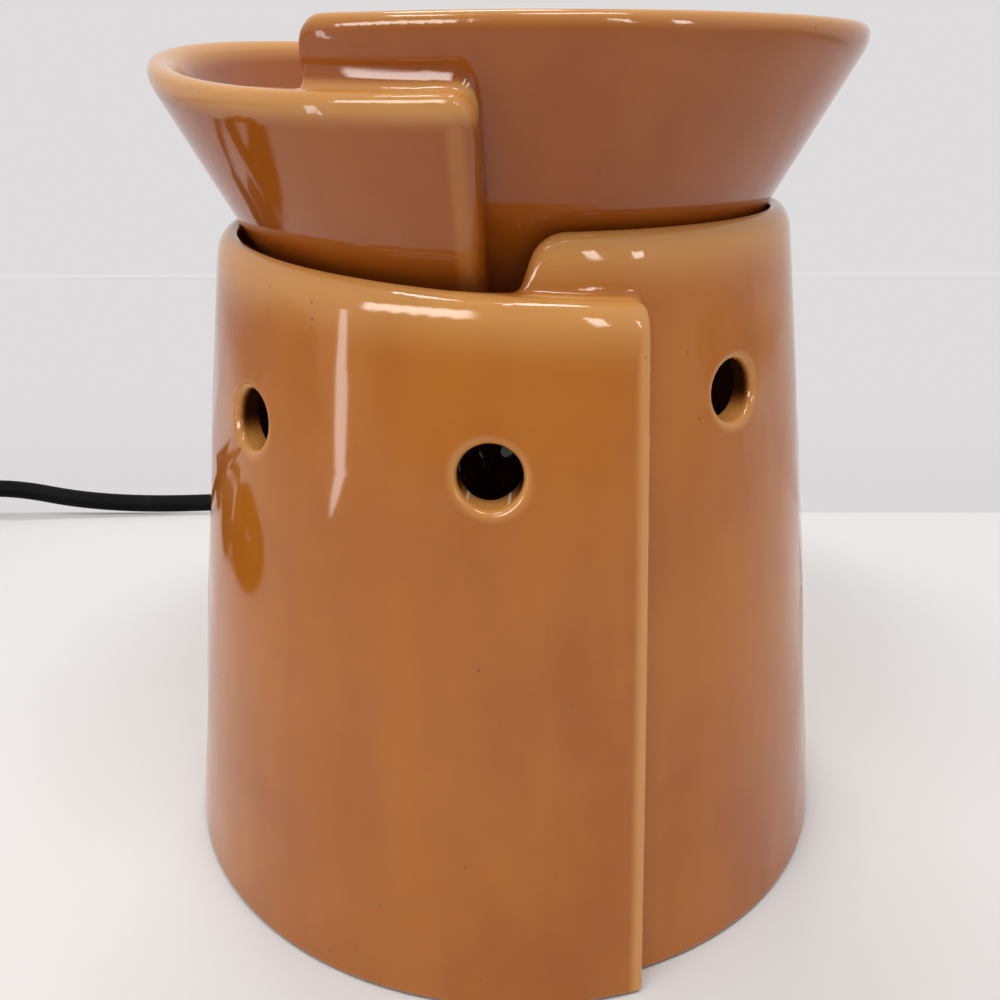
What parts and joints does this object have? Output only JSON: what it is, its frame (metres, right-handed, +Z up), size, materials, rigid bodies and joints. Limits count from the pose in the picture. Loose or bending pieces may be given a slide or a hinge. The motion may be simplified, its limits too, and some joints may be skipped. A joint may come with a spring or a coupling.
{
  "type": "wax melt warmer",
  "caption": "Electric wax melt warmer: a tapered ceramic body rolled from one sheet, a lift-off flared dish, a screw-in lamp inside and a corded wheel switch.",
  "frame": {"origin": "on the table, at the middle of the body's foot, under the centre of the dish", "axes": "+Z is up; -Y is the front, the side that the picture shows; +X is to the right seen from the front; the cord leaves towards +Y"},
  "size_m": [0.3622, 0.2161, 0.15],
  "materials": {
    "glaze": "glossy caramel-brown glaze",
    "steel": "zinc-plated sheet and screws",
    "brass": "plain brass",
    "rubber": "matte black rubber",
    "holder": "unglazed white porcelain",
    "solder": "dull tinned metal",
    "cap": "bare rolled aluminium",
    "insulator": "opaque black glass",
    "glass": "clear glass",
    "filament": "dark tungsten wire",
    "black_plastic": "fine-textured black plastic",
    "cord": "satin black cord jacket",
    "lead_live": "black insulation",
    "lead_neutral": "white insulation"
  },
  "bodies": {
    "warmer": {"body_shell": "glaze", "base_plate": "steel", "rubber_feet": "rubber", "crossbar": "steel", "clamp_screws": "steel", "threaded_nipple": "steel", "nipple_nut": "brass", "lamp_holder": "holder", "screw_shell": "brass", "centre_contact": "brass", "terminal_screws": "brass", "strain_relief": "black_plastic", "cord_tail": "cord", "lead_live": "lead_live", "lead_neutral": "lead_neutral", "cord_stretch": "cord", "cord_link": "cord", "cord_coil": "cord", "cord_end": "cord", "cord_tie": "black_plastic", "switch_lower": "black_plastic", "switch_upper": "black_plastic", "switch_axle": "steel", "switch_screws": "steel", "plug_body": "black_plastic", "plug_blades": "brass"},
    "dish": {"dish": "glaze"},
    "bulb": {"bulb_tip": "solder", "bulb_insulator": "insulator", "bulb_cap": "cap", "bulb_glass": "glass", "bulb_stem": "glass", "bulb_supports": "solder", "bulb_filament": "filament"},
    "switch_wheel": {"switch_wheel": "black_plastic"}
  },
  "joints": [
    {"name": "dish_lift", "type": "slide", "parent": "warmer", "child": "dish", "axis": [0, 0, 1], "range_m": [0, 0.06]},
    {"name": "bulb_turn", "type": "hinge", "parent": "warmer", "child": "bulb", "pos_m": [0, 0, 0.035], "axis": [0, 0, 1], "range_deg": [0, 1080]},
    {"name": "switch_turn", "type": "hinge", "parent": "warmer", "child": "switch_wheel", "pos_m": [-0.218, 0.137, 0.012], "axis": [0, 1, 0], "continuous": true}
  ]
}
